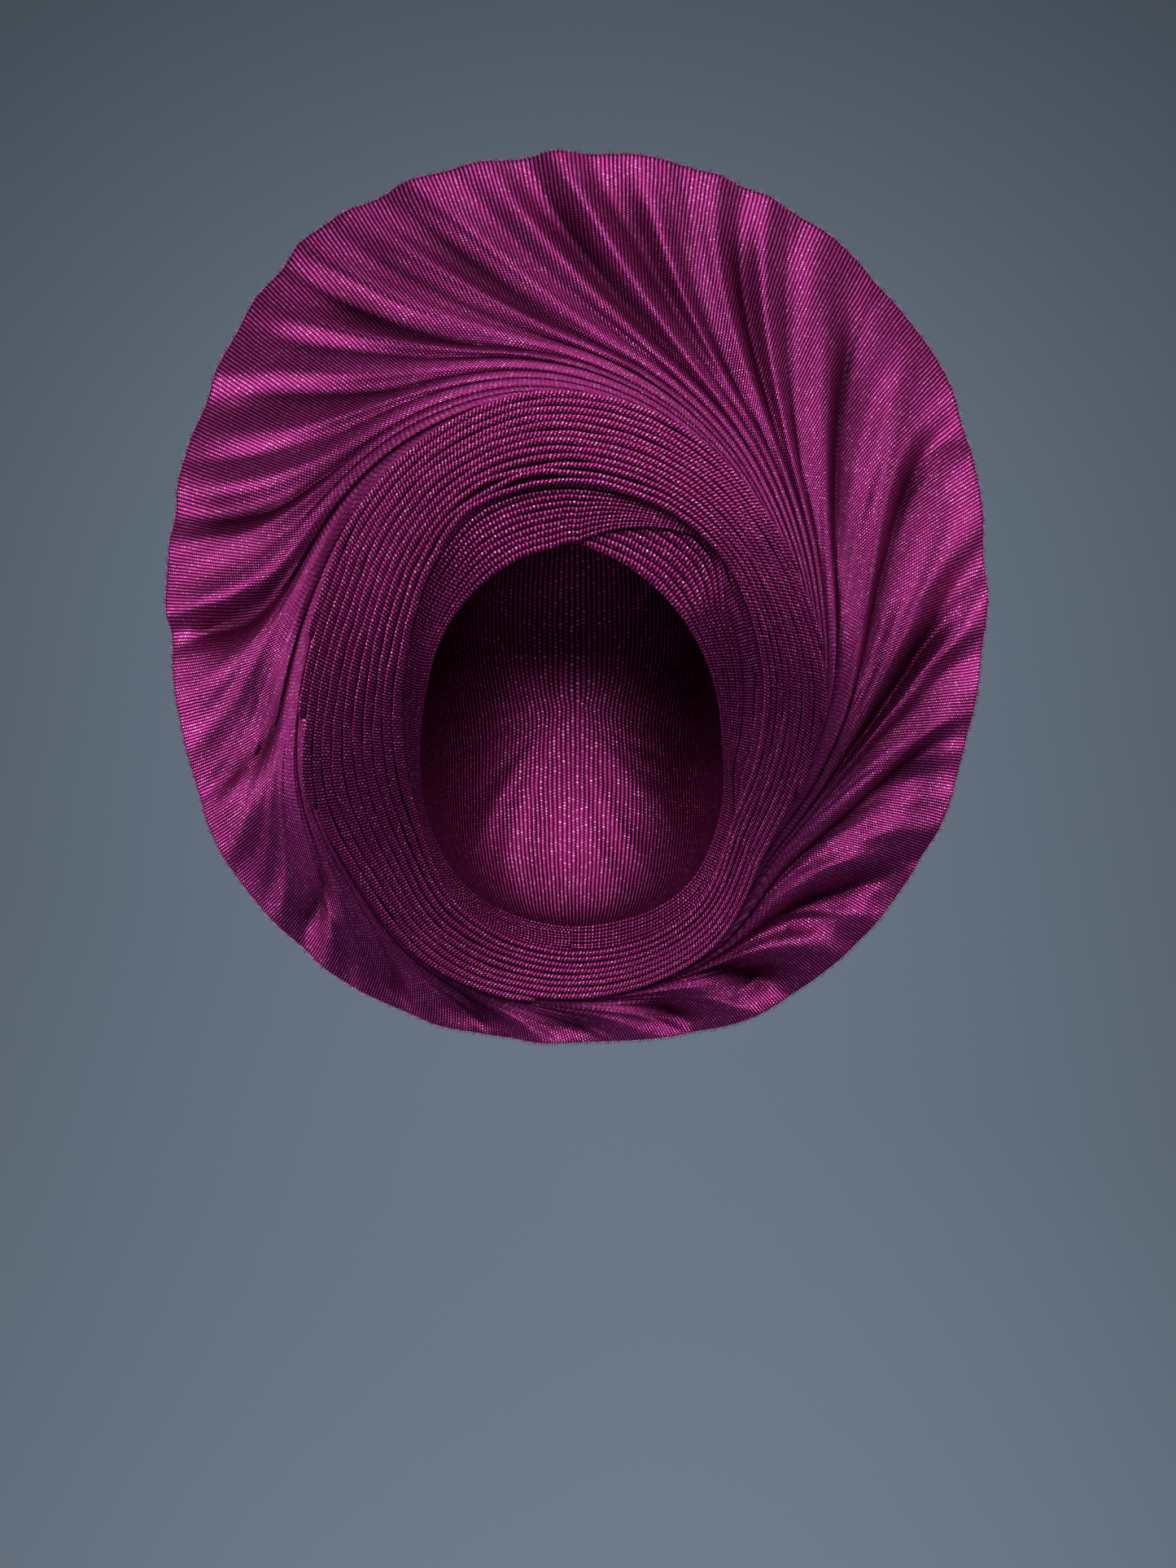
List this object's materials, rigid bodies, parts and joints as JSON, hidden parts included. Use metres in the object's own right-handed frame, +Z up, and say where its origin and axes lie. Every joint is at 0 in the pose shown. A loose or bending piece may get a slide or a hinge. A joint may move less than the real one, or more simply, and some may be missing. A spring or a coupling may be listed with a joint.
{
  "type": "tied head tie with a round pleated fan",
  "caption": "Tied plum head tie of ribbed cloth with stacked pleats round the face and a wide swirling round fan.",
  "frame": {"origin": "seat on the crown of the head, at the top of the head hollow", "axes": "+Z up, +Y towards the back of the head, +X to the wearer's left"},
  "size_m": [0.3974, 0.1865, 0.4352],
  "materials": {
    "fan_cloth": "ribbed weave with fine glitter",
    "pleat_cloth": "ribbed weave with fine glitter",
    "band_cloth": "ribbed weave with fine glitter",
    "wrap_cloth": "ribbed weave"
  },
  "bodies": {
    "root": {"fan": "fan_cloth", "pleat_bundle": "pleat_cloth", "upper_band": "band_cloth", "lower_band": "band_cloth", "back_wrap": "wrap_cloth", "nape_knot": "wrap_cloth"}
  },
  "joints": []
}
